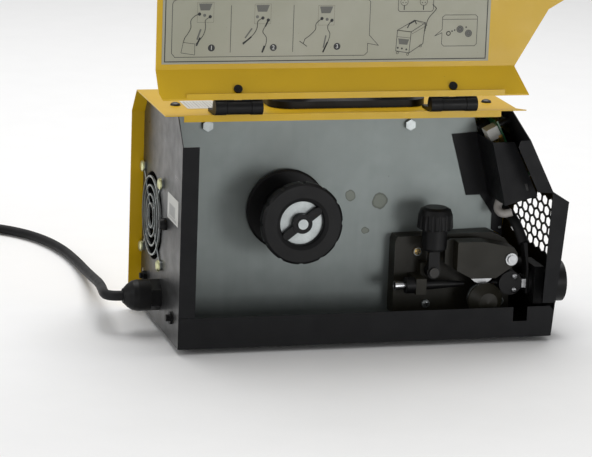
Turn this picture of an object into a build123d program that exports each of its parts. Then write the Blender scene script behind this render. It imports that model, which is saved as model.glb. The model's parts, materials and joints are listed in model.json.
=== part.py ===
"""Portable welder with a built-in wire feeder, side door open, as a jointed assembly in millimetres.

Case coordinates are used throughout: x runs forwards from the outside of the rear panel, y runs
across from the door side, and z runs up from the underside of the base tray.  CASE moves them to
the part's own frame, whose origin is on the floor under the middle of the machine.
"""
import math
import os

from build123d import *

os.makedirs("parts", exist_ok=True)

# ---------------------------------------------------------------- driving dimensions
LENGTH = 380.0          # base tray, rear panel to front panel
WIDTH = 175.0           # across the case
HEIGHT = 225.0          # base tray to the top of the cover
CHAMFER_Y = 21.3        # chamfer along the top edges, measured across
CHAMFER_Z = 25.0        # and measured down
SHEET = 1.0             # case sheet thickness
FOOT_HEIGHT = 5.0
COVER_OVERHANG = 12.9   # cover beyond the rear panel
PARTITION_Y = 77.0      # door-side face of the partition
HINGE_Y = 17.0          # door hinge axis
HINGE_Z = HEIGHT + 8.0
HUB_X, HUB_Z = 122.6, 118.8
WIRE_Y, WIRE_Z = 38.0, 46.5
FAN_Y, FAN_Z = 124.4, 103.7
FAN_SIZE, FAN_PITCH = 92.0, 82.5
GLAND_Y, GLAND_Z = 88.0, 32.0
CORD_DIAMETER = 10.0
EURO_RADIUS = 20.5
SOCKET_BORE = 6.5       # twist-lock output socket
EURO_BORE = 9.0         # central torch connector
ROLL_RADIUS, PRESSURE_RADIUS = 15.0, 13.8
RUNNING = 0.08          # radial clearance of a running fit

GLAND_REACH = 36.6      # gland beyond the rear panel
SCREW_HEAD = 1.8        # screws on the far side of the cover


FRONT_LEAN = 11.0 / 136.0                  # lower front panel leans out this much per mm of height
NOSE_Z = 136.0                             # top of the lower front panel
NOSE_X = LENGTH + FRONT_LEAN * NOSE_Z


def front_x(z):
    """Outside of the lower front panel at a height."""
    return LENGTH + FRONT_LEAN * z


EURO_SEAT = front_x(WIRE_Z + EURO_RADIUS) + 0.2
EURO_FRONT = EURO_SEAT + 15.0
CASE = Vector(-(EURO_FRONT - GLAND_REACH) / 2, -(WIDTH + SCREW_HEAD) / 2, FOOT_HEIGHT)

# ---------------------------------------------------------------- helpers


def across(y):
    """Sketch plane parallel to the side of the case: local x forwards, local y up."""
    return Plane(origin=CASE + Vector(0, y, 0), x_dir=(1, 0, 0), z_dir=(0, -1, 0))


def along(x):
    """Sketch plane parallel to the rear panel: local x across, local y up."""
    return Plane(origin=CASE + Vector(x, 0, 0), x_dir=(0, 1, 0), z_dir=(1, 0, 0))


def above(z):
    """Sketch plane parallel to the floor."""
    return Plane(origin=CASE + Vector(0, 0, z))


def profile(plane, points, depth, mode=Mode.ADD):
    """Extrude a closed outline from its plane, inside the current part."""
    with BuildSketch(plane, mode=Mode.PRIVATE) as outline:
        with BuildLine():
            Polyline(*points, close=True)
        make_face()
    extrude(outline.sketch, amount=depth, mode=mode)


def side_slab(points, y_near, y_far, mode=Mode.ADD):
    profile(across(y_far), points, y_far - y_near, mode)


def block(x, y, z, mode=Mode.ADD, radius=0.0):
    """Rectangular block from (start, end) pairs; radius rounds its upright edges."""
    with BuildSketch(above(z[0]), mode=Mode.PRIVATE) as outline:
        with Locations(((x[0] + x[1]) / 2, (y[0] + y[1]) / 2)):
            if radius:
                RectangleRounded(x[1] - x[0], y[1] - y[0], radius)
            else:
                Rectangle(x[1] - x[0], y[1] - y[0])
    extrude(outline.sketch, amount=z[1] - z[0], mode=mode)


def rod(start, direction, radius, length, mode=Mode.ADD, bore=0.0, sides=0):
    """Round or many-sided bar from a point, along a direction, with an optional bore."""
    plane = Plane(origin=CASE + Vector(*start), z_dir=direction)
    with BuildSketch(plane, mode=Mode.PRIVATE) as outline:
        if sides:
            RegularPolygon(radius, sides)
        else:
            Circle(radius)
        if bore:
            Circle(bore, mode=Mode.SUBTRACT)
    extrude(outline.sketch, amount=length, mode=mode)


def turned(start, direction, outline_points, mode=Mode.ADD):
    """Solid of revolution: points are (radius, distance along the axis)."""
    square_on = Plane(origin=CASE + Vector(*start), z_dir=direction)
    spin_axis = square_on.z_dir
    plane = Plane(origin=square_on.origin, x_dir=square_on.x_dir, z_dir=square_on.x_dir.cross(spin_axis))
    with BuildSketch(plane, mode=Mode.PRIVATE) as outline:
        with BuildLine():
            Polyline(*outline_points, close=True)
        make_face()
    revolve(outline.sketch, axis=Axis(plane.origin, spin_axis), mode=mode)


def bent_tube(points, radius):
    """Round tube along straight runs joined by arcs as large as the runs allow."""
    stops = [CASE + Vector(*point) for point in points]
    radii = []
    for before, corner, after in zip(stops, stops[1:], stops[2:]):
        run_in = corner - before
        run_out = after - corner
        half_turn = math.radians(run_in.get_angle(run_out)) / 2
        radii.append(0.45 * min(run_in.length, run_out.length) / math.tan(half_turn))
    with BuildLine(mode=Mode.PRIVATE) as route:
        path = FilletPolyline(*stops, radius=radii)
    with BuildSketch(Plane(origin=path @ 0, z_dir=path % 0), mode=Mode.PRIVATE) as section:
        Circle(radius)
    sweep(section.sketch, path=route.wires()[0])
    return path.length, radii


def save(builder, name):
    builder.part.label = name
    export_step(builder.part, f"parts/{name}.step")


def swing_open(builder):
    """The door parts are drawn shut and turned half a turn about the hinge axis to stand open."""
    axis = Axis(CASE + Vector(0, HINGE_Y, HINGE_Z), (1, 0, 0))
    builder.part = builder.part.rotate(axis, 180)


# ---------------------------------------------------------------- outlines shared by several pieces
SLANT_FOOT = (374.5, 145.5)                # control panel meets the nose
SLANT_TOP = (335.2, HEIGHT - SHEET)
SHOULDER_Z = HEIGHT - CHAMFER_Z

# ---------------------------------------------------------------- base, feet, rear panel
with BuildPart() as base_tray:
    block((1.2, 378.4), (SHEET, WIDTH - 1.2 * SHEET), (0, SHEET))
    side_slab([(1.2, 0), (378.6, 0), (380.4, 27), (377.0, 30.7), (1.2, 30.7)], 0, SHEET)
    side_slab([(339.0, 16.3), (353.6, 16.3), (353.6, 40), (339.0, 40)], -1, 2, Mode.SUBTRACT)
    side_slab([(1.2, 0), (378.4, 0), (378.4, 15), (1.2, 15)], WIDTH - 2.2 * SHEET, WIDTH - 1.2 * SHEET)
    block((1.2, 2.2), (SHEET, WIDTH - 1.2 * SHEET), (0, 12))
    block((377.4, 378.4), (SHEET, WIDTH - 1.2 * SHEET), (0, 12))
save(base_tray, "base_tray")

with BuildPart() as feet:
    for foot_x in (40, 340):
        for foot_y in (32, WIDTH - 32):
            turned((foot_x, foot_y, 0), (0, 0, -1), [(0, 0), (10, 0), (8.5, FOOT_HEIGHT), (0, FOOT_HEIGHT)])
save(feet, "feet")

fan_holes = [(FAN_Y + sy * FAN_PITCH / 2, FAN_Z + sz * FAN_PITCH / 2) for sy in (-1, 1) for sz in (-1, 1)]
with BuildPart() as rear_panel:
    profile(along(0), [(0, 0), (WIDTH - 1.2, 0), (WIDTH - 1.7, SHOULDER_Z - 1), (WIDTH - CHAMFER_Y - 1.4, 223.8),
                       (CHAMFER_Y + 2.5, 223.8), (CHAMFER_Y - 3.0, 218.0), (0, SHOULDER_Z - 1.6)], SHEET)
    block((0, 16.4), (0, SHEET), (31.2, 198.4))
    rod((-5, FAN_Y, FAN_Z), (1, 0, 0), 44.0, 10, Mode.SUBTRACT)
    for hole_y, hole_z in fan_holes:
        rod((-5, hole_y, hole_z), (1, 0, 0), 2.2, 10, Mode.SUBTRACT)
    rod((-5, GLAND_Y, GLAND_Z), (1, 0, 0), 10.0, 10, Mode.SUBTRACT)
    rod((-5, 30, 24), (1, 0, 0), 4.5, 10, Mode.SUBTRACT)
    rod((-5, 64, 109), (1, 0, 0), 4.0, 10, Mode.SUBTRACT)
    rod((-5, 148, 36), (1, 0, 0), 3.0, 10, Mode.SUBTRACT)
save(rear_panel, "rear_panel")

# ---------------------------------------------------------------- front panels
VENT_PITCH_Y, VENT_PITCH_Z = 17.4, 9.2
VENT_WIDTH, VENT_HEIGHT = 14.4, 9.8
vent_cells = []
for row in range(6):
    shift = 0.0 if row % 2 == 0 else VENT_PITCH_Y / 2
    for column in range(7):
        cell_y = 38.0 + shift + column * VENT_PITCH_Y
        if cell_y < 150.0:
            vent_cells.append((cell_y, 77.5 + row * VENT_PITCH_Z))

SOCKET_Y = (92.0, 138.0)
SOCKET_Z = 46.0
with BuildPart() as front_lower:
    side_slab([(LENGTH - SHEET, 0), (LENGTH, 0), (NOSE_X, NOSE_Z), SLANT_FOOT, (374.0, 144.4),
               (NOSE_X - SHEET, NOSE_Z - 0.6)], SHEET, WIDTH - 1.2)
    side_slab([(369.1, 34.0), (382.7, 34.0), (NOSE_X, NOSE_Z), (373.6, 144.9)], 0, SHEET)
    for cell_y, cell_z in vent_cells:
        corner = 2.5
        half_y, half_z = VENT_WIDTH / 2, VENT_HEIGHT / 2
        profile(along(375), [(cell_y - half_y, cell_z - half_z + corner), (cell_y, cell_z - half_z),
                             (cell_y + half_y, cell_z - half_z + corner),
                             (cell_y + half_y, cell_z + half_z - corner), (cell_y, cell_z + half_z),
                             (cell_y - half_y, cell_z + half_z - corner)], 20, Mode.SUBTRACT)
    rod((370, WIRE_Y, WIRE_Z), (1, 0, 0), 14.0, 30, Mode.SUBTRACT)
    for socket_y in SOCKET_Y:
        rod((370, socket_y, SOCKET_Z), (1, 0, 0), 12.0, 30, Mode.SUBTRACT)
save(front_lower, "front_lower")

slant_run = Vector(SLANT_FOOT[0] - SLANT_TOP[0], 0, SLANT_FOOT[1] - SLANT_TOP[1])
slant_length = slant_run.length
slant_down = slant_run.normalized()
slant_out = Vector(-slant_down.Z, 0, slant_down.X)


def on_slant(distance, y, proud=0.0):
    """Case point on the control panel, a distance down from its top edge."""
    point = Vector(SLANT_TOP[0], y, SLANT_TOP[1]) + slant_down * distance + slant_out * proud
    return (point.X, point.Y, point.Z)


def slant_plane(y, distance, proud=0.0):
    """Sketch plane on the control panel: local x across, local y up the slope."""
    return Plane(origin=CASE + Vector(*on_slant(distance, y, proud)), x_dir=(0, 1, 0), z_dir=slant_out)


KNOB_Y = (55.0, 120.0)
KNOB_DOWN = 56.0
with BuildPart() as front_upper:
    side_slab([SLANT_TOP, SLANT_FOOT, (373.4, 144.6), (SLANT_TOP[0] - 1.15, SLANT_TOP[1])], SHEET, WIDTH - 1.2)
    side_slab([(347.9, 198.4), (SLANT_FOOT[0] - 0.3, SLANT_FOOT[1] + 0.3), (372.6, 145.6), (358.2, 146.4),
               (335.3, 192.0), (337.2, 198.4)], 0, SHEET)
    for corner_y, side in ((0, 1), (WIDTH, -1)):
        profile(along(325), [(corner_y - side, SHOULDER_Z), (corner_y - side, 226),
                             (corner_y + side * (CHAMFER_Y + 1.4), 226),
                             (corner_y + side * (CHAMFER_Y + 1.4), 224.6),
                             (corner_y + side * 2.0, SHOULDER_Z)], 60, Mode.SUBTRACT)
    with BuildSketch(slant_plane(WIDTH / 2, 24.0, -5.0), mode=Mode.PRIVATE) as display_hole:
        Rectangle(56, 22)
    extrude(display_hole.sketch, amount=12, mode=Mode.SUBTRACT)
    for knob_y in KNOB_Y:
        rod(on_slant(KNOB_DOWN, knob_y, -5), tuple(slant_out), 3.4, 12, Mode.SUBTRACT)
    with BuildSketch(slant_plane(WIDTH / 2, KNOB_DOWN, -5.0), mode=Mode.PRIVATE) as switch_hole:
        Rectangle(14, 20)
    extrude(switch_hole.sketch, amount=12, mode=Mode.SUBTRACT)
save(front_upper, "front_upper")

# ---------------------------------------------------------------- top cover and partition
COVER_SIDE = [(-COVER_OVERHANG, 3), (381.6, 3), (NOSE_X + 1.4, NOSE_Z - 4), (374.0, 148.0),
              (341.5, SHOULDER_Z), (-COVER_OVERHANG, SHOULDER_Z)]
with BuildPart() as top_cover:
    profile(above(HEIGHT - SHEET), [(-COVER_OVERHANG, CHAMFER_Y), (349.0, CHAMFER_Y), (341.0, 29.0),
                                    (341.0, WIDTH - CHAMFER_Y), (-COVER_OVERHANG, WIDTH - CHAMFER_Y)], SHEET)
    block((5.5, 323.0), (CHAMFER_Y, CHAMFER_Y + SHEET), (218.3, HEIGHT))
    profile(along(-COVER_OVERHANG), [(WIDTH - CHAMFER_Y, HEIGHT), (WIDTH - CHAMFER_Y - 0.4, HEIGHT - SHEET),
                                     (WIDTH - SHEET, SHOULDER_Z - 0.5), (WIDTH, SHOULDER_Z - 0.5),
                                     (WIDTH, SHOULDER_Z)], 341.0 + COVER_OVERHANG)
    side_slab(COVER_SIDE, WIDTH - SHEET, WIDTH)
    for screw_x, screw_y in ((8.0, 72.0), (321.0, 62.0)):
        rod((screw_x, screw_y, 220), (0, 0, 1), 2.0, 10, Mode.SUBTRACT)
    for screw_x in (20.0, 190.0, 360.0):
        rod((screw_x, WIDTH - 5, 10), (0, 1, 0), 2.0, 10, Mode.SUBTRACT)
save(top_cover, "top_cover")

PARTITION_BOLTS = ((41.5, 203.5), (247.5, 201.0))
MOTOR_X, MOTOR_Z = 300.0, 46.0
with BuildPart() as partition:
    side_slab([(2.6, 1.2), (341.0, 1.2), (341.0, 120.0), (312.0, 216.0), (2.6, 216.0)],
              PARTITION_Y, PARTITION_Y + SHEET)
    block((4.0, 308.0), (PARTITION_Y - 9.0, PARTITION_Y + SHEET), (215.0, 216.0))
    for bolt_x, bolt_z in PARTITION_BOLTS:
        rod((bolt_x, PARTITION_Y - 4, bolt_z), (0, 1, 0), 3.0, 10, Mode.SUBTRACT)
    rod((HUB_X, PARTITION_Y - 4, HUB_Z), (0, 1, 0), 5.0, 10, Mode.SUBTRACT)
    block((0, 8), (PARTITION_Y - 2, PARTITION_Y + 4), (14, 50), Mode.SUBTRACT)
    rod((MOTOR_X, PARTITION_Y - 4, MOTOR_Z), (0, 1, 0), 14.0, 10, Mode.SUBTRACT)
save(partition, "partition")

# ---------------------------------------------------------------- carry handle
HANDLE_X, HANDLE_Y = (97.0, 256.0), (44.0, 131.0)
with BuildPart() as carry_handle:
    block(HANDLE_X, HANDLE_Y, (HEIGHT, HEIGHT + 7), radius=20)
    side_slab([(103, 232), (150, 232), (141, 238), (137, 250), (137, 262), (142, 268), (211, 268), (216, 262),
               (216, 250), (212, 238), (203, 232), (250, 232), (246, 262), (240, 280), (228, 290),
               (125, 290), (113, 280), (107, 262)], 74, 102)
    fillet(carry_handle.edges().filter_by(Axis.Y).group_by(Axis.Z)[-1], radius=8)
    long_edges = carry_handle.faces().sort_by(Axis.Z)[-1].edges()
    fillet(long_edges, radius=5)
save(carry_handle, "carry_handle")

# ---------------------------------------------------------------- hinges
HINGES = ((33.4, 80.0), (248.0, 294.8))
END_KNUCKLE, KNUCKLE_GAP, PIN_RADIUS = 11.0, 0.4, 2.5
with BuildPart() as hinge_cover_leaves:
    for start, end in HINGES:
        block((start, end), (29.0, 42.0), (HEIGHT, HEIGHT + 3.0))
        for knuckle in ((start, start + END_KNUCKLE), (end - END_KNUCKLE, end)):
            block(knuckle, (HINGE_Y + 4.5, 29.5), (HEIGHT, HEIGHT + 4.0))
            rod((knuckle[0], HINGE_Y, HINGE_Z), (1, 0, 0), 7.4, END_KNUCKLE)
            rod((knuckle[0] - 1, HINGE_Y, HINGE_Z), (1, 0, 0), PIN_RADIUS, END_KNUCKLE + 2, Mode.SUBTRACT)
        rod((start, HINGE_Y, HINGE_Z), (1, 0, 0), PIN_RADIUS - 0.02, end - start)
save(hinge_cover_leaves, "hinge_cover_leaves")

# ---------------------------------------------------------------- door, drawn shut
DOOR_Y = -1.5                                   # outside face of the shut door
BAND_TOP = (20.4, HEIGHT)                       # hinge edge of the chamfer band (y, z)
BAND_FOOT = (DOOR_Y, SHOULDER_Z - 0.4)
DOOR_OUTLINE = [(-15.0, 230.0), (-20.5, 219.0), (-20.5, 8.0), (383.0, 8.0), (NOSE_X + 2.0, NOSE_Z - 5),
                (371.0, 144.0), (338.5, SHOULDER_Z), (350.0, 230.0)]
LATCH_X, LATCH_Z = 346.3, 23.5
band_run = Vector(0, BAND_FOOT[0] - BAND_TOP[0], BAND_FOOT[1] - BAND_TOP[1])
band_down = band_run.normalized()
band_out = Vector(0, band_down.Z, -band_down.Y)


def on_band(distance, x, proud=0.0):
    """Case point on the outside of the shut door's chamfer band, a distance down from its hinge edge."""
    point = Vector(x, BAND_TOP[0], BAND_TOP[1]) + band_down * distance + band_out * proud
    return (point.X, point.Y, point.Z)


DOOR_BOLT_DOWN = 10.5
door_bolt_x = [(start + end) / 2 for start, end in HINGES]
with BuildPart() as door_panel:
    profile(along(-25), [(DOOR_Y, 8), BAND_FOOT, BAND_TOP, (BAND_TOP[0], HEIGHT - 1.5),
                         (DOOR_Y + SHEET, SHOULDER_Z - 0.8), (DOOR_Y + SHEET, 8)], 430)
    side_slab(DOOR_OUTLINE, -10, 30, Mode.INTERSECT)
    block((5.5, 323.0), (BAND_TOP[0] - SHEET, BAND_TOP[0]), (219.0, HEIGHT - 1.3))
    rod((LATCH_X, -5, LATCH_Z), (0, 1, 0), 3.0 + RUNNING, 10, Mode.SUBTRACT)
    for bolt_x in door_bolt_x:
        rod(on_band(DOOR_BOLT_DOWN, bolt_x, 5), tuple(-band_out), 2.0, 10, Mode.SUBTRACT)
swing_open(door_panel)
save(door_panel, "door_panel")

LABEL_X, LABEL_Z = (-15.0, 311.0), (44.0, 194.0)
with BuildPart() as door_label:
    block(LABEL_X, (DOOR_Y + SHEET, DOOR_Y + SHEET + 0.3), LABEL_Z)
swing_open(door_label)
save(door_label, "door_label")

with BuildPart() as hinge_door_leaves:
    for start, end in HINGES:
        knuckle = (start + END_KNUCKLE + KNUCKLE_GAP, end - END_KNUCKLE - KNUCKLE_GAP)
        leaf_top, leaf_end = on_band(3.0, 0), on_band(30.0, 0)
        leaf_end_out, leaf_top_out = on_band(30.0, 0, 2.5), on_band(3.0, 0, 2.5)
        neck_foot = on_band(12.0, 0, 0.0)
        profile(along(start), [leaf_top[1:], leaf_end[1:], leaf_end_out[1:], leaf_top_out[1:]], end - start)
        for swing_x in ((start - 1, knuckle[0]), (knuckle[1], end + 1)):
            rod((swing_x[0], HINGE_Y, HINGE_Z), (1, 0, 0), 7.9, swing_x[1] - swing_x[0], Mode.SUBTRACT)
        middle = (start + end) / 2
        for neck in ((knuckle[0], middle - 4.6), (middle + 4.6, knuckle[1])):
            profile(along(neck[0]), [(HINGE_Y - 5.5, HINGE_Z), (HINGE_Y + 2.0, HINGE_Z - 5.5),
                                     on_band(3.0, 0)[1:], neck_foot[1:], on_band(13.0, 0, 2.5)[1:]],
                    neck[1] - neck[0])
        rod((knuckle[0], HINGE_Y, HINGE_Z), (1, 0, 0), 7.0, knuckle[1] - knuckle[0])
        rod((knuckle[0] - 1, HINGE_Y, HINGE_Z), (1, 0, 0), PIN_RADIUS + RUNNING, END_KNUCKLE * 3, Mode.SUBTRACT)
        rod(on_band(DOOR_BOLT_DOWN, (start + end) / 2, 5), tuple(-band_out), 2.0, 10, Mode.SUBTRACT)
    side_slab([(-30, 0), (400, 0), (400, 300), (-30, 300)], HINGE_Y + 30, HINGE_Y + 31, Mode.SUBTRACT)
swing_open(hinge_door_leaves)
save(hinge_door_leaves, "hinge_door_leaves")

with BuildPart() as door_bolts:
    for bolt_x in door_bolt_x:
        rod(on_band(DOOR_BOLT_DOWN, bolt_x, 2.5), tuple(-band_out), 2.0, 6.0)
        rod(on_band(DOOR_BOLT_DOWN, bolt_x, -SHEET), tuple(-band_out), 4.2, 2.2, bore=2.0)
        rod(on_band(DOOR_BOLT_DOWN, bolt_x, 2.5), tuple(band_out), 4.0, 1.6)
swing_open(door_bolts)
save(door_bolts, "door_bolts")

with BuildPart() as door_latch:
    rod((LATCH_X, DOOR_Y - 0.3, LATCH_Z), (0, -1, 0), 9.0, 3.0)
    block((LATCH_X - 2.0, LATCH_X + 2.0), (DOOR_Y - 11.0, DOOR_Y - 3.0), (LATCH_Z - 8.0, LATCH_Z + 8.0))
    rod((LATCH_X, DOOR_Y - 0.5, LATCH_Z), (0, 1, 0), 3.0, 5.5)
    block((LATCH_X - 3.5, LATCH_X + 3.5), (2.0, 3.6), (LATCH_Z - 3.5, LATCH_Z + 17.0))
swing_open(door_latch)
save(door_latch, "door_latch")

# ---------------------------------------------------------------- rear panel fittings
with BuildPart() as fan_frame:
    block((1.05, 26.0), (FAN_Y - FAN_SIZE / 2, FAN_Y + FAN_SIZE / 2), (FAN_Z - FAN_SIZE / 2, FAN_Z + FAN_SIZE / 2))
    rod((0, FAN_Y, FAN_Z), (1, 0, 0), 43.5, 30, Mode.SUBTRACT)
    for hole_y, hole_z in fan_holes:
        rod((0, hole_y, hole_z), (1, 0, 0), 2.2, 30, Mode.SUBTRACT)
    rod((22.5, FAN_Y, FAN_Z), (1, 0, 0), 19.0, 3.5)
    for strut in range(4):
        angle = math.radians(45 + 90 * strut)
        direction = (0, math.cos(angle), math.sin(angle))
        start = Vector(23.9, FAN_Y, FAN_Z) + Vector(*direction) * 17.0
        rod(tuple(start), direction, 1.6, 27.6)
    rod((16.0, FAN_Y, FAN_Z), (1, 0, 0), 2.5, 7.0)
save(fan_frame, "fan_frame")

with BuildPart() as fan_rotor:
    rod((5.0, FAN_Y, FAN_Z), (1, 0, 0), 17.5, 16.5)
    rod((12.0, FAN_Y, FAN_Z), (1, 0, 0), 2.5 + RUNNING, 12.0, Mode.SUBTRACT)
    for blade in range(7):
        angle = math.radians(360 / 7 * blade)
        out = Vector(0, math.cos(angle), math.sin(angle))
        tangent = Vector(0, -math.sin(angle), math.cos(angle))
        pitch = (Vector(1, 0, 0) + tangent * 1.15).normalized()
        middle = CASE + Vector(13.0, FAN_Y, FAN_Z) + out * 15.0
        with BuildSketch(Plane(origin=middle, x_dir=pitch, z_dir=out), mode=Mode.PRIVATE) as blade_section:
            Rectangle(19.0, 1.5)
        extrude(blade_section.sketch, amount=26.3)
save(fan_rotor, "fan_rotor")

with BuildPart() as fan_guard:
    for ring_radius in (12.0, 21.0, 30.0, 39.0):
        rod((-2.6, FAN_Y, FAN_Z), (1, 0, 0), ring_radius + 0.9, 1.8, bore=ring_radius - 0.9)
    for spoke_y, spoke_z in fan_holes:
        spoke = Vector(0, spoke_y - FAN_Y, spoke_z - FAN_Z)
        start = Vector(-1.0, FAN_Y, FAN_Z) + spoke.normalized() * 11.5
        rod(tuple(start), tuple(spoke), 0.8, spoke.length - 14.5)
        rod((-1.9, spoke_y, spoke_z), (1, 0, 0), 4.6, 1.8, bore=2.2)
save(fan_guard, "fan_guard")

with BuildPart() as fan_screws:
    for hole_y, hole_z in fan_holes:
        turned((-2.0, hole_y, hole_z), (-1, 0, 0), [(0, 0), (5.8, 0), (5.6, 1.4), (4.2, 2.6), (0, 3.0)])
        rod((-2.0, hole_y, hole_z), (1, 0, 0), 2.0, 27.0)
save(fan_screws, "fan_screws")

with BuildPart() as gland_body:
    rod((-10.0, GLAND_Y, GLAND_Z), (1, 0, 0), 16.0, 10.0, sides=6)
    rod((-20.0, GLAND_Y, GLAND_Z), (1, 0, 0), 11.0, 10.0)
    rod((-0.5, GLAND_Y, GLAND_Z), (1, 0, 0), 9.9, 11.0)
    rod((1.1, GLAND_Y, GLAND_Z), (1, 0, 0), 14.0, 4.0, sides=6)
    rod((-40.0, GLAND_Y, GLAND_Z), (1, 0, 0), CORD_DIAMETER / 2, 60.0, Mode.SUBTRACT)
save(gland_body, "gland_body")

with BuildPart() as gland_nut:
    turned((-10.2, GLAND_Y, GLAND_Z), (-1, 0, 0),
           [(11.0, 0), (15.6, 0), (15.6, 12.0), (14.4, 17.0), (11.6, 21.5), (8.0, 25.0), (7.0, 26.4),
            (5.0, 26.4), (5.0, 10.0), (11.0, 9.8)])
save(gland_nut, "gland_nut")

with BuildPart() as rear_fittings:
    turned((0, 64, 109), (-1, 0, 0), [(0, 0), (6.0, 0), (6.0, 3.0), (4.6, 7.0), (0, 7.0)])
    rod((0, 64, 109), (1, 0, 0), 4.0, 8.0)
    rod((0, 148, 36), (-1, 0, 0), 5.0, 4.0, sides=6)
    rod((-7.0, 148, 36), (1, 0, 0), 3.0, 16.0)
    rod((-2.4, 30, 24), (1, 0, 0), 6.2, 2.4, bore=3.4 + RUNNING)
    rod((0.0, 30, 24), (1, 0, 0), 4.5, 1.2, bore=3.4 + RUNNING)
    rod((1.2, 30, 24), (1, 0, 0), 7.0, 14.0)
    rod((0.0, 30, 24), (1, 0, 0), 3.4 + RUNNING, 11.5, Mode.SUBTRACT)
save(rear_fittings, "rear_fittings")

with BuildPart() as overload_button:
    rod((-6.0, 30, 24), (1, 0, 0), 3.4, 14.0)
save(overload_button, "overload_button")

with BuildPart() as rear_labels:
    block((-0.25, 0), (12.0, 58.0), (118.0, 143.0))
    profile(along(-0.25), [(158.0, 28.5), (171.0, 28.5), (164.5, 40.0)], 0.25)
save(rear_labels, "rear_labels")


# ---------------------------------------------------------------- spool hub
with BuildPart() as hub_axle:
    rod((HUB_X, PARTITION_Y, HUB_Z), (0, -1, 0), 16.0, 2.6)
    rod((HUB_X, PARTITION_Y, HUB_Z), (0, -1, 0), 8.0, 56.0)
    rod((HUB_X, 22.0, HUB_Z), (0, -1, 0), 5.0, 15.0)
    rod((HUB_X, PARTITION_Y, HUB_Z), (0, 1, 0), 5.0, 9.0)
    rod((HUB_X, PARTITION_Y + SHEET, HUB_Z), (0, 1, 0), 9.0, 5.0, sides=6)
save(hub_axle, "hub_axle")

with BuildPart() as spool_hub:
    turned((HUB_X, 73.8, HUB_Z), (0, -1, 0),
           [(8.0 + RUNNING, 0), (39.5, 0), (40.5, 1.0), (40.5, 3.0), (38.5, 4.2), (25.0, 4.6), (24.6, 50.0),
            (22.6, 53.0), (8.0 + RUNNING, 53.0)])
    for rib in range(6):
        angle = math.radians(60 * rib + 15)
        out = (math.cos(angle), 0, math.sin(angle))
        block_plane = Plane(origin=CASE + Vector(HUB_X, 69.2, HUB_Z) + Vector(*out) * 23.0,
                            x_dir=out, z_dir=(0, -1, 0))
        with BuildSketch(block_plane, mode=Mode.PRIVATE) as rib_section:
            Rectangle(5.0, 3.0)
        extrude(rib_section.sketch, amount=42.0)
    turned((HUB_X, 60.0, HUB_Z), (0, -1, 0), [(13.5, 0), (19.0, 0), (19.0, 34.0), (13.5, 34.0)], Mode.SUBTRACT)
save(spool_hub, "spool_hub")

NUT_TILT = 38.0
with BuildPart() as hub_nut:
    turned((HUB_X, 20.2, HUB_Z), (0, -1, 0),
           [(5.0 + RUNNING, 0), (38.5, 0), (40.5, 2.0), (40.5, 9.5), (38.0, 12.0), (26.0, 12.0), (22.6, 10.0),
            (21.6, 8.0), (21.6, 3.0), (9.6, 3.0), (9.6, 11.5), (5.0 + RUNNING, 11.5)])
    wing_direction = (math.cos(math.radians(NUT_TILT)), 0, math.sin(math.radians(NUT_TILT)))
    wing_plane = Plane(origin=CASE + Vector(HUB_X, 15.2, HUB_Z), x_dir=wing_direction, z_dir=(0, -1, 0))
    with BuildSketch(wing_plane, mode=Mode.PRIVATE) as wing:
        SlotOverall(46.0, 8.0)
        Circle(8.0, mode=Mode.SUBTRACT)
    extrude(wing.sketch, amount=5.4)
    for notch in range(12):
        angle = math.radians(30 * notch)
        notch_at = (HUB_X + 42.6 * math.cos(angle), 25.0, HUB_Z + 42.6 * math.sin(angle))
        rod(notch_at, (0, -1, 0), 3.4, 20.0, Mode.SUBTRACT)
save(hub_nut, "hub_nut")

with BuildPart() as hub_washer:
    rod((HUB_X, 17.1, HUB_Z), (0, -1, 0), 21.3, 1.6, bore=9.8)
save(hub_washer, "hub_washer")

with BuildPart() as brake_spring:
    rod((HUB_X, 59.0, HUB_Z), (0, -1, 0), 18.0, 30.0, bore=14.5)
save(brake_spring, "brake_spring")

# ---------------------------------------------------------------- wire drive unit
PLATE_FRONT_Y = 58.0
GEAR_RADIUS, PINION_RADIUS = 14.0, 9.8
PIVOT_X, PIVOT_Z = 344.0, 72.5
ROLL_X = 319.0
ROLL_Z = WIRE_Z - ROLL_RADIUS - 0.5
PRESSURE_Z = WIRE_Z + PRESSURE_RADIUS + 0.5
TENSION_X, TENSION_Z = 266.0, 59.5
with BuildPart() as drive_plate:
    side_slab([(232, 12.5), (354, 12.5), (354, 78), (347, 86), (333, 93.5), (234, 91), (232, 86)],
              PLATE_FRONT_Y, PARTITION_Y - 0.1)
    block((236, 350), (PLATE_FRONT_Y + 4, PARTITION_Y - 5), (15.5, 87), Mode.SUBTRACT)
    rod((ROLL_X, 50, ROLL_Z), (0, 1, 0), 6.0, 40, Mode.SUBTRACT)
    rod((MOTOR_X, PARTITION_Y - 8, MOTOR_Z), (0, 1, 0), 14.0, 20, Mode.SUBTRACT)
    block((247, 257.5), (30, PLATE_FRONT_Y + 1), (38.5, 54.5))
    block((338.2, 353), (47.2, PLATE_FRONT_Y + 1), (35, 58))
    block((338, 350), (47.0, PLATE_FRONT_Y + 1), (58, 79))
    rod((240, WIRE_Y, WIRE_Z), (1, 0, 0), 5.0, 30, Mode.SUBTRACT)
    rod((PIVOT_X, 40, PIVOT_Z), (0, 1, 0), 3.0, 20, Mode.SUBTRACT)
    block((256.0, 276.0), (47.0, PLATE_FRONT_Y + 1), (TENSION_Z - 7, TENSION_Z + 7))
    rod((TENSION_X, 40, TENSION_Z), (0, 1, 0), 3.0, 20, Mode.SUBTRACT)
    for screw_x, screw_z in ((255.0, 76.0), (266.0, 22.0), (344.0, 22.0)):
        rod((screw_x, 50, screw_z), (0, 1, 0), 2.0, 14, Mode.SUBTRACT)
save(drive_plate, "drive_plate")

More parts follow.
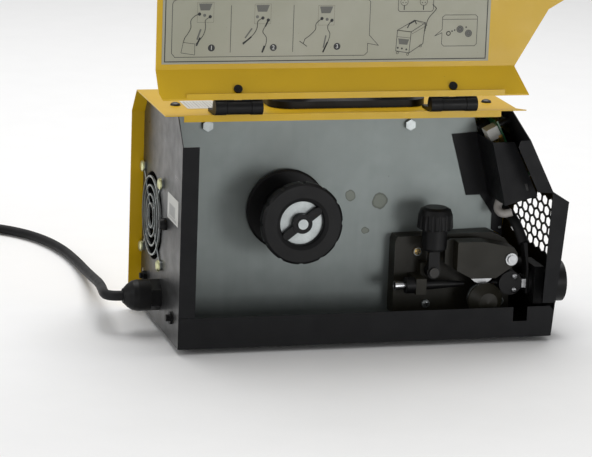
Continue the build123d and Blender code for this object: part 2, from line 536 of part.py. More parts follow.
with BuildPart() as case_screws:
    for bolt_x, bolt_z in PARTITION_BOLTS:
        rod((bolt_x, PARTITION_Y - 4.2, bolt_z), (0, 1, 0), 5.6, 4.2, sides=6)
        rod((bolt_x, PARTITION_Y - 0.2, bolt_z), (0, 1, 0), 3.0, 9.0)
    for screw_x, screw_y in ((8.0, 72.0), (321.0, 62.0)):
        turned((screw_x, screw_y, HEIGHT), (0, 0, 1), [(0, 0), (5.2, 0), (4.4, 1.8), (2.2, 2.8), (0, 3.0)])
        rod((screw_x, screw_y, HEIGHT), (0, 0, -1), 2.0, 6)
    for screw_x in (20.0, 190.0, 360.0):
        rod((screw_x, WIDTH, 10), (0, -1, 0), 2.0, 1.0)
        rod((screw_x, WIDTH, 10), (0, 1, 0), 4.2, SCREW_HEAD)
    for screw_x, screw_z in ((255.0, 76.0), (266.0, 22.0), (344.0, 22.0)):
        rod((screw_x, PLATE_FRONT_Y, screw_z), (0, -1, 0), 4.0, 2.6)
        rod((screw_x, PLATE_FRONT_Y - 0.2, screw_z), (0, 1, 0), 2.0, 6.0)
save(case_screws, "case_screws")

with BuildPart() as feed_motor:
    rod((MOTOR_X, PARTITION_Y + SHEET + 0.1, MOTOR_Z), (0, 1, 0), 24.0, 56.0)
    rod((MOTOR_X, PARTITION_Y + SHEET + 0.1, MOTOR_Z), (0, -1, 0), 13.0, 5.1)
    rod((MOTOR_X, PARTITION_Y + 57.1, MOTOR_Z), (0, 1, 0), 8.0, 4.0)
    rod((MOTOR_X, PARTITION_Y - 6.0, MOTOR_Z), (0, 1, 0), 3.0 + RUNNING, 12.0, Mode.SUBTRACT)
save(feed_motor, "feed_motor")

with BuildPart() as motor_pinion:
    rod((MOTOR_X, 71.7, MOTOR_Z), (0, -1, 0), PINION_RADIUS, 4.0)
    rod((MOTOR_X, PARTITION_Y - 0.2, MOTOR_Z), (0, -1, 0), 3.0, 12.0)
save(motor_pinion, "motor_pinion")

with BuildPart() as drive_roll:
    rod((ROLL_X, 33.5, ROLL_Z), (0, 1, 0), ROLL_RADIUS, 9.0)
    turned((ROLL_X, WIRE_Y, ROLL_Z), (0, 1, 0), [(14.4, 0), (16, -0.8), (16, 0.8)], Mode.SUBTRACT)
    rod((ROLL_X, 42.0, ROLL_Z), (0, 1, 0), 5.9, 20.0)
    rod((ROLL_X, 62.2, ROLL_Z), (0, 1, 0), GEAR_RADIUS, 5.0)
    rod((ROLL_X, 62.0, ROLL_Z), (0, 1, 0), 5.9, 2.0)
save(drive_roll, "drive_roll")

with BuildPart() as roll_knob:
    turned((ROLL_X, 33.3, ROLL_Z), (0, -1, 0), [(0, 0), (16.0, 0), (17.5, 2.0), (17.5, 5.0), (9.5, 15.0), (0, 16.0)])
save(roll_knob, "roll_knob")

with BuildPart() as inlet_guide:
    turned((227.0, WIRE_Y, WIRE_Z), (1, 0, 0), [(1.2, 0), (4.3, 0), (3.0, 11.0), (4.9, 12.0), (4.9, 22.0), (4.95, 22.0),
                                              (4.95, 35.0), (5.0, 35.0), (5.0, 36.0), (3.2, 63.0), (1.6, 72.0),
                                              (1.2, 72.0)])
    rod((238.0, WIRE_Y, WIRE_Z), (1, 0, 0), 8.2, 8.8, bore=4.7)
save(inlet_guide, "inlet_guide")

with BuildPart() as outlet_guide:
    rod((345.0, 46.9, WIRE_Z + 1.0), (0, -1, 0), 12.0, 17.4)
    turned((333.5, WIRE_Y, WIRE_Z), (-1, 0, 0), [(1.0, -3.0), (4.0, -3.0), (4.0, 0), (1.5, 7.0), (1.0, 7.0)])
    rod((330.0, WIRE_Y, WIRE_Z), (1, 0, 0), 1.0, 30.0, Mode.SUBTRACT)
    for screw_z in (WIRE_Z - 6.0, WIRE_Z + 8.0):
        rod((349.2, 29.5, screw_z), (0, -1, 0), 2.6, 1.6)
save(outlet_guide, "outlet_guide")

ARM_NEAR, ARM_FAR = 28.0, 46.0
with BuildPart() as pressure_arm:
    arm_outline = [(279.4, 89.1), (284.5, 91.0), (314.6, 91.0), (346.5, 84.0), (350.5, 78.0), (350.5, 68.0),
                   (329.0, 53.5), (304.0, 53.5), (279.5, 66.5)]
    side_slab(arm_outline, ARM_NEAR, ARM_FAR)
    side_slab([(300, 52), (332, 52), (332, 78), (300, 78)], ARM_NEAR + 4, ARM_FAR - 4, Mode.SUBTRACT)
    block((279.0, 288.0), (ARM_NEAR - 1, WIRE_Y + 4.5), (60.0, 95.0), Mode.SUBTRACT)
    rod((PIVOT_X, ARM_NEAR - 1, PIVOT_Z), (0, 1, 0), 3.0 + RUNNING, 30, Mode.SUBTRACT)
    rod((ROLL_X - 3.0, ARM_NEAR + 3.0, PRESSURE_Z), (0, 1, 0), 3.0, ARM_FAR - ARM_NEAR - 6.0)
save(pressure_arm, "pressure_arm")

with BuildPart() as pressure_roll:
    rod((ROLL_X - 3.0, 33.5, PRESSURE_Z), (0, 1, 0), PRESSURE_RADIUS, 8.0, bore=3.0 + RUNNING)
save(pressure_roll, "pressure_roll")

with BuildPart() as pivot_screws:
    rod((PIVOT_X, ARM_NEAR - 0.4, PIVOT_Z), (0, -1, 0), 6.2, 1.2, bore=2.9)
    rod((PIVOT_X, ARM_NEAR - 1.6, PIVOT_Z), (0, -1, 0), 4.2, 2.0)
    rod((PIVOT_X, ARM_NEAR - 1.7, PIVOT_Z), (0, 1, 0), 3.0, 28.0)
    rod((TENSION_X, 33.0, TENSION_Z), (0, 1, 0), 3.0, 22.0)
    rod((TENSION_X, 34.6, TENSION_Z), (0, -1, 0), 5.0, 2.2)
save(pivot_screws, "pivot_screws")

with BuildPart() as tension_arm:
    rod((TENSION_X, 35.0, TENSION_Z), (0, 1, 0), 6.6, 11.6)
    block((TENSION_X - 5.5, TENSION_X + 5.5), (35.0, 41.0), (TENSION_Z, 80.0))
    rod((TENSION_X, WIRE_Y, 79.0), (0, 0, 1), 3.0, 42.0)
    rod((TENSION_X, 30.0, TENSION_Z), (0, 1, 0), 3.0 + RUNNING, 30.0, Mode.SUBTRACT)
save(tension_arm, "tension_arm")

with BuildPart() as tension_knob:
    turned((TENSION_X, WIRE_Y, 82.5), (0, 0, 1), [(3.0 + RUNNING, 0), (11.8, 0), (12.6, 2.0), (12.6, 20.5), (17.2, 21.5),
                                               (18.0, 23.0), (17.0, 36.0), (15.0, 41.0), (11.0, 43.0),
                                               (0, 43.0), (0, 40.0), (3.0 + RUNNING, 40.0)])
    for groove in range(16):
        angle = math.radians(22.5 * groove)
        groove_at = (TENSION_X + 18.7 * math.cos(angle), WIRE_Y + 18.7 * math.sin(angle), 98.0)
        rod(groove_at, (0, 0, 1), 2.2, 25.0, Mode.SUBTRACT)
save(tension_knob, "tension_knob")

# ---------------------------------------------------------------- torch connector and power lead
with BuildPart() as euro_connector:
    rod((EURO_SEAT, WIRE_Y, WIRE_Z), (1, 0, 0), EURO_RADIUS, EURO_FRONT - EURO_SEAT)
    rod((364.0, WIRE_Y, WIRE_Z), (1, 0, 0), 13.6, 24.0)
    block((366.5, 376.0), (20.0, 58.0), (28.0, 66.0))
    rod((375.0, WIRE_Y, WIRE_Z), (1, 0, 0), EURO_BORE, 40.0, Mode.SUBTRACT)
    rod((360.0, WIRE_Y, WIRE_Z), (1, 0, 0), 4.0, 40.0, Mode.SUBTRACT)
save(euro_connector, "euro_connector")

with BuildPart() as euro_nut:
    rod((357.3, WIRE_Y, WIRE_Z), (1, 0, 0), 8.6, 4.4, bore=4.2, sides=6)
save(euro_nut, "euro_nut")

with BuildPart() as output_sockets:
    for socket_y in SOCKET_Y:
        rod((front_x(SOCKET_Z + 17.0) + 0.2, socket_y, SOCKET_Z), (1, 0, 0), 17.0, 7.0)
        rod((362.0, socket_y, SOCKET_Z), (1, 0, 0), 11.8, 24.0)
        rod((366.0, socket_y, SOCKET_Z), (1, 0, 0), SOCKET_BORE, 40.0, Mode.SUBTRACT)
save(output_sockets, "output_sockets")

with BuildPart() as power_lead:
    bent_tube([(348.0, 104.0, 112.0), (351.0, 78.0, 113.0), (355.0, 52.0, 105.0), (359.5, 38.0, 86.0)], 5.2)
    side_slab([(357.4, 88.0), (361.4, 88.0), (363.9, 62), (363.9, 36), (361.9, 36), (361.9, 62)], 31.0, 45.0)
    rod((350.0, WIRE_Y, WIRE_Z), (1, 0, 0), 4.2, 30, Mode.SUBTRACT)
save(power_lead, "power_lead")

# ---------------------------------------------------------------- control box, board and cable
BOX_NEAR = 24.0
with BuildPart() as control_box:
    side_slab([(317.0, 192.0), (339.6, 192.0), (366.6, 137.0), (333.3, 128.0)], BOX_NEAR, BOX_NEAR + SHEET)
    side_slab([(317.0, 192.0), (318.1, 192.0), (334.4, 128.0), (333.3, 128.0)], BOX_NEAR, PARTITION_Y - 0.1)
    side_slab([(291.7, 190.4), (317.0, 192.0), (334.4, 128.0), (309.6, 127.7)], PARTITION_Y - 1.1, PARTITION_Y - 0.1)
    side_slab([(322.0, 131.0), (333.0, 131.0), (334.4, 128.0), (344.5, 120.0), (344.5, 106.0), (349.5, 105.5),
               (349.5, 84.0), (347.3, 86.6), (338.0, 91.6), (338.0, 108.0)], PARTITION_Y - 1.1, PARTITION_Y - 0.1)
    side_slab([(352.0, 150.0), (355.0, 150.0), (358.0, 142.5), (355.0, 142.5)], BOX_NEAR - 2, BOX_NEAR + 2,
              Mode.SUBTRACT)
save(control_box, "control_box")

BOARD_BEHIND = 15.0
with BuildPart() as control_board:
    with BuildSketch(slant_plane(WIDTH / 2 + 7.0, 44.0, -BOARD_BEHIND), mode=Mode.PRIVATE) as board_outline:
        Rectangle(106.0, 70.0)
    extrude(board_outline.sketch, amount=1.6)
    for post_y in (45.0, 145.0):
        for post_down in (14.0, 74.0):
            rod(on_slant(post_down, post_y, -BOARD_BEHIND + 1.6), tuple(slant_out), 2.5, BOARD_BEHIND - 3.2)
    for connector_y in (52.0, 78.0):
        with BuildSketch(slant_plane(connector_y, 20.0, -BOARD_BEHIND), mode=Mode.PRIVATE) as connector_outline:
            Rectangle(15.0, 12.0)
        extrude(connector_outline.sketch, amount=-12.0)
save(control_board, "control_board")

with BuildPart() as panel_fittings:
    with BuildSketch(slant_plane(WIDTH / 2, 24.0, -1.4), mode=Mode.PRIVATE) as display_body:
        Rectangle(55.8, 21.8)
    extrude(display_body.sketch, amount=2.4)
    with BuildSketch(slant_plane(WIDTH / 2, KNOB_DOWN, -9.0), mode=Mode.PRIVATE) as switch_frame:
        Rectangle(13.8, 19.8)
        Rectangle(12.0, 18.6, mode=Mode.SUBTRACT)
    extrude(switch_frame.sketch, amount=10.0)
save(panel_fittings, "panel_fittings")

for index, knob_y in enumerate(KNOB_Y):
    with BuildPart() as control_knob:
        turned(on_slant(KNOB_DOWN, knob_y, 0.5), tuple(slant_out),
               [(0, 0), (10.0, 0), (10.0, 2.0), (8.6, 3.0), (8.2, 8.5), (7.2, 9.5), (0, 9.5)])
        rod(on_slant(KNOB_DOWN, knob_y, 0.6), tuple(-slant_out), 3.3, 9.0)
    save(control_knob, f"control_knob_{index + 1}")

with BuildPart() as power_rocker:
    rocker_plane = slant_plane(WIDTH / 2, KNOB_DOWN, -6.0)
    with BuildSketch(rocker_plane, mode=Mode.PRIVATE) as rocker_outline:
        Rectangle(11.0, 17.0)
    extrude(rocker_outline.sketch, amount=9.5)
save(power_rocker, "power_rocker")

with BuildPart() as ribbon_cable:
    bent_tube([(346.0, 62.0, 141.0), (340.5, 61.0, 126.0), (336.0, 57.0, 117.5), (339.0, 48.0, 113.5),
               (348.0, 45.0, 116.5)], 4.0)
save(ribbon_cable, "ribbon_cable")

# ---------------------------------------------------------------- power electronics behind the partition
with BuildPart() as main_board:
    side_slab([(40, 80), (318, 80), (318, 200), (40, 200)], 158.0, 159.6)
    for capacitor_x, capacitor_z in ((290.0, 112.0), (290.0, 148.0), (214.0, 176.0), (254.0, 176.0)):
        rod((capacitor_x, 158.0, capacitor_z), (0, -1, 0), 15.0, 44.0)
save(main_board, "main_board")

with BuildPart() as heat_sinks:
    for sink_z in (96.0, 150.0):
        block((56, 176), (122, 126), (sink_z, sink_z + 42))
        for fin in range(6):
            fin_z = sink_z + 1.0 + 7.6 * fin
            block((56, 176), (98, 122.5), (fin_z, fin_z + 2.0))
        block((70, 162), (125.5, 158), (sink_z + 12, sink_z + 30))
save(heat_sinks, "heat_sinks")

with BuildPart() as main_transformer:
    block((200, 262), (98, 152), (96, 150))
    block((212, 250), (90, 157.9), (108, 138))
    rod((100.0, 90.0, 44.0), (0, 1, 0), 30.0, 42.0, bore=12.0)
    rod((100.0, 86.0, 44.0), (0, 1, 0), 20.0, 72.0, bore=12.5)
    block((74, 126), (84, 158), (1.05, 14))
save(main_transformer, "main_transformer")


# ---------------------------------------------------------------- mains lead
CORD_Z = CORD_DIAMETER / 2 - FOOT_HEIGHT + 0.3
CORD_ROUTE = [(-GLAND_REACH, GLAND_Y, GLAND_Z), (-42.8, 88.0, 32.0), (-48.2, 91.1, 31.8), (-51.3, 96.5, 31.4),
              (-51.6, 104.0, 30.8), (-50.0, 118.0, 29.2), (-46.0, 143.5, 25.5), (-40.0, 187.0, 19.0),
              (-35.5, 240.0, 10.5), (-32.5, 295.0, 3.5), (-32.0, 350.0, CORD_Z), (-37.0, 403.0, CORD_Z),
              (-50.0, 452.0, CORD_Z), (-71.0, 489.0, CORD_Z), (-100.0, 515.0, CORD_Z),
              (-138.0, 534.0, CORD_Z), (-178.0, 547.0, CORD_Z)]
COIL_RADIUS, COIL_WIDTH, COIL_HEIGHT = 56.0, 21.0, 31.0
COIL_X, COIL_Y = -196.0, 492.0
with BuildPart() as mains_cord:
    cord_length, cord_radii = bent_tube(CORD_ROUTE, CORD_DIAMETER / 2)
save(mains_cord, "mains_cord")
print("cord run", round(cord_length, 1), "radii", [round(radius, 1) for radius in cord_radii])
print("cord volume", round(mains_cord.part.volume), "section x length",
      round(math.pi * CORD_DIAMETER ** 2 / 4 * cord_length))

with BuildPart() as cord_coil:
    low = CORD_Z - CORD_DIAMETER / 2
    inner, outer = COIL_RADIUS - COIL_WIDTH / 2, COIL_RADIUS + COIL_WIDTH / 2
    turned((COIL_X, COIL_Y, low), (0, 0, 1),
           [(inner, 4), (inner + 4, 0), (outer - 4, 0), (outer, 4), (outer, COIL_HEIGHT - 4),
            (outer - 4, COIL_HEIGHT), (inner + 4, COIL_HEIGHT), (inner, COIL_HEIGHT - 4)])
save(cord_coil, "cord_coil")

PLUG_Y = COIL_Y + 61.0
PLUG_Z = CORD_Z + 14.0
with BuildPart() as mains_plug:
    turned((COIL_X - 48.0, PLUG_Y, PLUG_Z), (-1, 0, 0),
           [(0, 0), (6.0, 0), (8.0, 22.0), (14.0, 26.0), (18.5, 38.0), (18.5, 62.0), (0, 62.0)])
    rod((COIL_X - 20.0, PLUG_Y, PLUG_Z), (-1, 0, 0), CORD_DIAMETER / 2, 30.0)
    for pin in (-1, 1):
        rod((COIL_X - 109.0, PLUG_Y + pin * 9.5, PLUG_Z), (-1, 0, 0), 2.4, 20.0)
save(mains_plug, "mains_plug")
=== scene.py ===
import json
import math

import bpy
from mathutils import Matrix, Vector


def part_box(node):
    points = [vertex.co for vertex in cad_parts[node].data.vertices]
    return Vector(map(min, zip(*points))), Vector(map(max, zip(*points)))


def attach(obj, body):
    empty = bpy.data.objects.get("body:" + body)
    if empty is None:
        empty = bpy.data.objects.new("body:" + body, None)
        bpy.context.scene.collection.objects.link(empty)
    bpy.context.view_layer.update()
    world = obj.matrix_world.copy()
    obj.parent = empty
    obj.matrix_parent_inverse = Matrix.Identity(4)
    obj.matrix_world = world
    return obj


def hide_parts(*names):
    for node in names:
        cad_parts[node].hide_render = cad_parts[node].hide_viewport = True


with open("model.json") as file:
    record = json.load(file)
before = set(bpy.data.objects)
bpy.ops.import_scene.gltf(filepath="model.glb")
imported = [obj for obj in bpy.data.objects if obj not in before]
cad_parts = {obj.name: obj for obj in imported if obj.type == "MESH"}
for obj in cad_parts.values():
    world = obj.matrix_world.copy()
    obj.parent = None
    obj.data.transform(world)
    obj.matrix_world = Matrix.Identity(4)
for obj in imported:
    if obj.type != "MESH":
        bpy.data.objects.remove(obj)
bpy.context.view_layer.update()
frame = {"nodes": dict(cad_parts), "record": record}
NODES = frame["nodes"]

# The case's own origin, in the row frame: outside of the rear panel, door side, underside of the base tray.
CASE = Vector((-0.18201, -0.0884, 0.005))


def case(x, y, z):
    """A point given in case millimetres, in the row frame in metres."""
    return CASE + Vector((x, y, z)) / 1000.0


# ---------------------------------------------------------------- materials
class Maker:
    """A small helper that wires a node material together."""

    def __init__(self, name):
        self.material = bpy.data.materials.new(name)
        self.material.use_nodes = True
        self.tree = self.material.node_tree
        self.tree.nodes.clear()
        self.shader = self.add("ShaderNodeBsdfPrincipled")
        output = self.add("ShaderNodeOutputMaterial")
        self.link(self.shader.outputs["BSDF"], output.inputs["Surface"])
        self.place = self.add("ShaderNodeTexCoord").outputs["Object"]

    def add(self, kind, **settings):
        node = self.tree.nodes.new(kind)
        for key, value in settings.items():
            setattr(node, key, value)
        return node

    def link(self, output, socket):
        self.tree.links.new(output, socket)

    def noise(self, scale, detail=4.0, stretch=None, roughness=0.55):
        node = self.add("ShaderNodeTexNoise")
        node.inputs["Scale"].default_value = scale
        node.inputs["Detail"].default_value = detail
        node.inputs["Roughness"].default_value = roughness
        place = self.place
        if stretch:
            mapping = self.add("ShaderNodeMapping")
            mapping.inputs["Scale"].default_value = stretch
            self.link(self.place, mapping.inputs["Vector"])
            place = mapping.outputs["Vector"]
        self.link(place, node.inputs["Vector"])
        return node.outputs["Fac"]

    def ramp(self, value, low, high, to_low=0.0, to_high=1.0):
        node = self.add("ShaderNodeMapRange")
        for socket, number in (("From Min", low), ("From Max", high), ("To Min", to_low), ("To Max", to_high)):
            node.inputs[socket].default_value = number
        self.link(value, node.inputs["Value"])
        return node.outputs["Result"]

    def mix(self, factor, first, second):
        node = self.add("ShaderNodeMix", data_type="RGBA")
        self.link(factor, node.inputs["Factor"])
        for socket, colour in ((node.inputs[6], first), (node.inputs[7], second)):
            if isinstance(colour, tuple):
                socket.default_value = (*colour, 1.0)
            else:
                self.link(colour, socket)
        return node.outputs[2]

    def sum(self, first, second, operation="ADD"):
        node = self.add("ShaderNodeMath", operation=operation)
        for socket, value in ((node.inputs[0], first), (node.inputs[1], second)):
            if isinstance(value, float):
                socket.default_value = value
            else:
                self.link(value, socket)
        return node.outputs[0]

    def bump(self, height, distance, strength=1.0):
        node = self.add("ShaderNodeBump")
        node.inputs["Distance"].default_value = distance
        node.inputs["Strength"].default_value = strength
        self.link(height, node.inputs["Height"])
        self.link(node.outputs["Normal"], self.shader.inputs["Normal"])

    def set(self, **values):
        for key, value in values.items():
            self.shader.inputs[key.replace("_", " ")].default_value = value

    def colour(self, output):
        self.link(output, self.shader.inputs["Base Color"])

    def rough(self, output):
        self.link(output, self.shader.inputs["Roughness"])


def tint(colour, factor):
    return tuple(min(1.0, channel * factor) for channel in colour)


def coat(name, colour, rough, metallic=0.0, grain=900.0, depth=0.00008, patch=18.0, patchy=0.12, dust=0.0,
         clear=0.0, shine=0.5):
    """Paint, plastic, rubber or plain metal: blotchy colour, uneven gloss, a fine grain and settled dust."""
    m = Maker(name)
    m.set(Metallic=metallic, Specular_IOR_Level=shine)
    if clear:
        m.set(Coat_Weight=clear, Coat_Roughness=0.22)
    blotch = m.noise(patch, 5.0)
    base = m.mix(m.ramp(blotch, 0.3, 0.7), tint(colour, 1.0 - patchy), tint(colour, 1.0 + patchy))
    fine = m.noise(grain, 3.0)
    base = m.mix(m.ramp(fine, 0.35, 0.75, 0.0, 0.35), base, tint(colour, 1.0 - 2.0 * patchy))
    if dust:
        up = m.add("ShaderNodeSeparateXYZ")
        geometry = m.add("ShaderNodeNewGeometry")
        m.link(geometry.outputs["Normal"], up.inputs["Vector"])
        settled = m.sum(m.ramp(up.outputs["Z"], 0.1, 1.0, 0.15, 1.0), m.ramp(m.noise(60.0, 6.0), 0.4, 0.7), "MULTIPLY")
        base = m.mix(m.sum(settled, dust, "MULTIPLY"), base, (0.32, 0.31, 0.28))
    m.colour(base)
    m.rough(m.ramp(m.noise(patch * 3.0, 6.0), 0.3, 0.7, rough - 0.07, rough + 0.07))
    m.bump(fine, depth)
    return m.material


def painted_yellow():
    """Semi-gloss yellow powder coat with orange peel, faint scuffs and a few rubbed marks."""
    m = Maker("yellow_powder_coat")
    m.set(Coat_Weight=0.12, Coat_Roughness=0.3, Specular_IOR_Level=0.35)
    yellow = (0.62, 0.385, 0.002)
    base = m.mix(m.ramp(m.noise(9.0, 5.0), 0.3, 0.7), tint(yellow, 0.93), tint(yellow, 1.06))
    scuff = m.ramp(m.noise(34.0, 8.0, (1.0, 1.0, 7.0), 0.7), 0.66, 0.76)
    base = m.mix(m.sum(scuff, 0.3, "MULTIPLY"), base, (0.35, 0.2, 0.01))
    specks = m.ramp(m.noise(190.0, 2.0), 0.76, 0.8)
    base = m.mix(m.sum(specks, 0.6, "MULTIPLY"), base, (0.14, 0.08, 0.02))
    m.colour(base)
    m.rough(m.ramp(m.noise(25.0, 7.0), 0.3, 0.7, 0.3, 0.42))
    m.bump(m.noise(520.0, 2.0), 0.00012, 0.6)
    return m.material


def galvanised():
    """Zinc-coated sheet: soft spangle, rolling streaks, pinprick specks and three dried oily spots."""
    m = Maker("galvanised_sheet")
    m.set(Metallic=0.75)
    spangle = m.add("ShaderNodeTexVoronoi", feature="SMOOTH_F1")
    spangle.inputs["Scale"].default_value = 85.0
    m.link(m.place, spangle.inputs["Vector"])
    grain = m.add("ShaderNodeSeparateColor")
    m.link(spangle.outputs["Color"], grain.inputs["Color"])
    base = m.mix(grain.outputs["Red"], (0.185, 0.21, 0.205), (0.22, 0.245, 0.24))
    cloud = m.noise(11.0, 7.0, None, 0.6)
    base = m.mix(m.ramp(cloud, 0.32, 0.72), base, (0.25, 0.277, 0.27))
    streak = m.noise(60.0, 5.0, (1.0, 1.0, 0.12))
    base = m.mix(m.ramp(streak, 0.5, 0.8, 0.0, 0.3), base, (0.16, 0.18, 0.18))
    specks = m.ramp(m.noise(420.0, 1.0), 0.79, 0.83, 0.0, 0.6)
    base = m.mix(specks, base, (0.06, 0.06, 0.06))
    wobble = m.add("ShaderNodeTexNoise")
    wobble.inputs["Scale"].default_value = 90.0
    m.link(m.place, wobble.inputs["Vector"])
    shake = m.add("ShaderNodeVectorMath", operation="MULTIPLY_ADD")
    m.link(wobble.outputs["Color"], shake.inputs[0])
    shake.inputs[1].default_value = (0.006, 0.006, 0.006)
    m.link(m.place, shake.inputs[2])
    for x, z, half_width, half_height in ((189.7, 129.7, 5.2, 5.6), (219.5, 123.4, 8.2, 8.0), (205.8, 93.5, 4.4, 3.0)):
        centre = case(x, 77.0, z) + Vector((0.003, 0.003, 0.003))
        offset = m.add("ShaderNodeVectorMath", operation="SUBTRACT")
        m.link(shake.outputs[0], offset.inputs[0])
        offset.inputs[1].default_value = centre
        squeeze = m.add("ShaderNodeVectorMath", operation="MULTIPLY")
        m.link(offset.outputs[0], squeeze.inputs[0])
        squeeze.inputs[1].default_value = (1000.0 / half_width, 12.0, 1000.0 / half_height)
        reach = m.add("ShaderNodeVectorMath", operation="LENGTH")
        m.link(squeeze.outputs[0], reach.inputs[0])
        distance = reach.outputs["Value"]
        inside = m.ramp(distance, 1.0, 0.9, 0.0, 0.62)
        base = m.mix(inside, base, (0.12, 0.125, 0.095))
        rim = m.sum(m.ramp(distance, 0.72, 0.95), m.ramp(distance, 1.05, 0.95), "MULTIPLY")
        base = m.mix(m.sum(rim, 0.6, "MULTIPLY"), base, (0.045, 0.047, 0.035))
    m.colour(base)
    m.rough(m.ramp(cloud, 0.3, 0.7, 0.42, 0.56))
    m.bump(spangle.outputs["Distance"], 0.00006, 0.5)
    return m.material


def turned_metal(name, colour, rough, scale=(1.0, 30.0, 1.0)):
    """Machined or plated metal with fine tool lines."""
    m = Maker(name)
    m.set(Metallic=1.0)
    lines = m.noise(900.0, 2.0, scale)
    base = m.mix(m.ramp(m.noise(45.0, 6.0), 0.3, 0.7), tint(colour, 0.8), tint(colour, 1.1))
    m.colour(m.mix(m.ramp(lines, 0.4, 0.8, 0.0, 0.3), base, tint(colour, 0.55)))
    m.rough(m.ramp(m.noise(120.0, 5.0), 0.3, 0.7, rough - 0.06, rough + 0.08))
    m.bump(lines, 0.00003, 0.5)
    return m.material


def printed_film():
    """Matt beige label film with blotchy tone and fine dark specks."""
    m = Maker("label_film")
    base = m.mix(m.ramp(m.noise(7.0, 4.0), 0.3, 0.7), (0.33, 0.33, 0.25), (0.39, 0.385, 0.31))
    base = m.mix(m.ramp(m.noise(420.0, 2.0), 0.7, 0.78, 0.0, 0.4), base, (0.2, 0.19, 0.15))
    m.colour(base)
    m.rough(m.ramp(m.noise(40.0, 5.0), 0.3, 0.7, 0.42, 0.55))
    m.bump(m.noise(800.0, 2.0), 0.00002, 0.4)
    return m.material


def two_part(name, axis, edge, below, above):
    """Metal on one side of a plane across the node and black oxide on the other: (colour, metallic) for each."""
    m = Maker(name)
    split = m.add("ShaderNodeSeparateXYZ")
    m.link(m.place, split.inputs["Vector"])
    side = m.ramp(split.outputs[axis], edge - 0.0002, edge + 0.0002)
    worn = m.noise(300.0, 5.0)
    first = m.mix(m.ramp(worn, 0.3, 0.7), tint(below[0], 0.8), below[0])
    second = m.mix(m.ramp(worn, 0.3, 0.7), tint(above[0], 0.8), above[0])
    m.colour(m.mix(side, first, second))
    m.link(m.ramp(side, 0.0, 1.0, below[1], above[1]), m.shader.inputs["Metallic"])
    m.rough(m.ramp(m.noise(150.0, 4.0), 0.3, 0.7, 0.34, 0.46))
    m.bump(m.noise(900.0, 2.0), 0.00003, 0.5)
    return m.material


BLACK = (0.0062, 0.0064, 0.0075)
LOOKS = {
    "yellow_coat": painted_yellow(),
    "galvanised": galvanised(),
    "black_coat": coat("black_powder_coat", BLACK, 0.5, grain=1500.0, depth=0.00012, patchy=0.2, dust=0.02, shine=0.17),
    # The rear panel: the same black powder coat as its folded edge, given a lighter colour as painted light, and a
    # shinier finish.
    "rear_coat": coat("painted_lit_powder_coat", (0.016, 0.016, 0.0165), 0.34,
                      grain=1500.0, depth=0.00004, patchy=0.15, dust=0.03, shine=0.7),
    "black_plastic": coat("black_nylon", (0.0055, 0.0055, 0.006), 0.42,
                          grain=2200.0, depth=0.00005, patchy=0.2, dust=0.015, shine=0.2),
    "black_rubber": coat("black_rubber", (0.011, 0.011, 0.012), 0.6,
                         grain=1100.0, depth=0.00008, patchy=0.2, dust=0.03, shine=0.25),
    "olive_plastic": coat("olive_black_nylon", (0.017, 0.0155, 0.010), 0.45,
                          grain=1900.0, depth=0.00006, patchy=0.2, dust=0.03, shine=0.28),
    "steel": turned_metal("bright_zinc", (0.42, 0.45, 0.45), 0.4),
    "zinc_yellow": turned_metal("yellow_zinc", (0.72, 0.72, 0.42), 0.36),
    "brass": turned_metal("brass", (0.7, 0.5, 0.2), 0.33),
    "chrome": turned_metal("bright_nickel", (0.5, 0.51, 0.52), 0.3),
    "aluminium": turned_metal("drawn_aluminium", (0.62, 0.63, 0.64), 0.38, (30.0, 1.0, 1.0)),
    "copper": coat("varnished_winding", (0.28, 0.11, 0.05), 0.35, metallic=0.4, grain=400.0, depth=0.0003),
    "label": printed_film(),
    "white_label": coat("white_film", (0.56, 0.56, 0.53), 0.5, grain=900.0, depth=0.00002, patchy=0.05),
    "board": coat("green_solder_mask", (0.012, 0.09, 0.035), 0.3, grain=260.0, depth=0.00005, patchy=0.35),
    "ribbon": coat("pale_sleeve", (0.4, 0.38, 0.36), 0.45, grain=500.0, depth=0.00006, patchy=0.15),
    "window": coat("smoked_window", (0.02, 0.004, 0.004), 0.12, grain=300.0, depth=0.000005, clear=0.8),
    "knob_red": coat("red_plastic", (0.36, 0.012, 0.01), 0.4, grain=1500.0, depth=0.00004, patchy=0.1),
    # Black print for the label lines; the same black also paints shade in the screw heads' cross hollows and behind the
    # control box's slot.
    "ink": coat("black_print_and_painted_shade", (0.02, 0.02, 0.02), 0.5, grain=900.0, depth=0.00001),
    "grey_print": coat("grey_print", (0.12, 0.12, 0.105), 0.5, grain=900.0, depth=0.00001),
    "white_paint": coat("white_print", (0.7, 0.7, 0.68), 0.5, grain=900.0, depth=0.00001, patchy=0.05),
    "silver_sticker": coat("grey_sticker", (0.34, 0.34, 0.33), 0.45, metallic=0.2, grain=900.0, depth=0.00002),
}

ZINC, OXIDE = ((0.42, 0.45, 0.45), 1.0), ((0.02, 0.018, 0.016), 0.2)
NICKEL = ((0.5, 0.51, 0.52), 1.0)
COVER_TOP, BETWEEN_PIVOTS = 224, 300      # case z and x, in millimetres, where each finish changes
LOOKS["cover_screws"] = two_part("zinc_and_black_screws", "Z", case(0, 0, COVER_TOP).z, ZINC, OXIDE)
LOOKS["pivot_pins"] = two_part("pivot_and_black_pin", "X", case(BETWEEN_PIVOTS, 0, 0).x, OXIDE, NICKEL)

# Nodes whose finish differs from their record slot in a way only the picture needs.
SPECIAL = {"drive_plate": "olive_plastic", "pressure_arm": "olive_plastic", "roll_knob": "olive_plastic",
           "rear_labels": "white_label", "rear_panel": "rear_coat", "case_screws": "cover_screws",
           "pivot_screws": "pivot_pins", "door_bolts": "black_plastic", "overload_button": "black_plastic"}


def smooth(piece, angle=32.0):
    """Rounded faces shade smoothly and corners sharper than the angle stay sharp."""
    piece.data.shade_smooth()
    piece.data.set_sharp_from_angle(angle=math.radians(angle))


